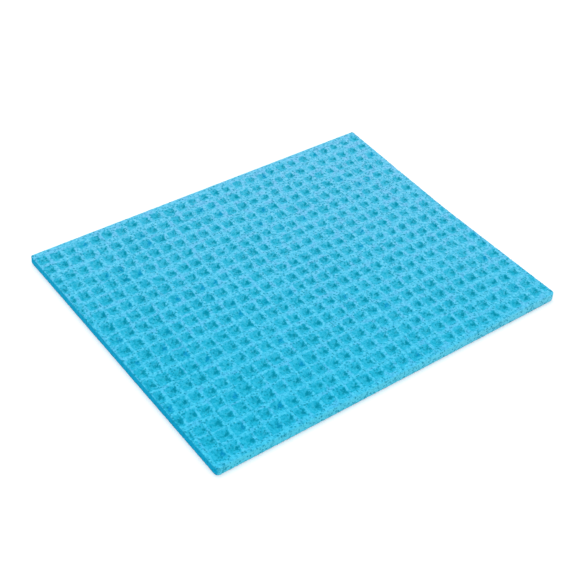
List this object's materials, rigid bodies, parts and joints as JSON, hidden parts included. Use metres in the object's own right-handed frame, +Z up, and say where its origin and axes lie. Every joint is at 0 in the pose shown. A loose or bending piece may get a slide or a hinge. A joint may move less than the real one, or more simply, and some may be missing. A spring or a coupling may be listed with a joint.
{
  "type": "sponge cloth",
  "caption": "Flat rectangular cellulose sponge cloth with a waffle of square dents pressed into its upper face, for wiping benches and sinks",
  "frame": {"origin": "centre of the plain lower face, which lies on the surface", "axes": "+X along the long side, +Y along the short side, +Z up out of the waffle face"},
  "size_m": [0.252, 0.2, 0.005],
  "materials": {
    "cellulose_sponge": "matte, fine open pores"
  },
  "bodies": {
    "root": {"sponge_cloth": "cellulose_sponge"}
  },
  "joints": []
}
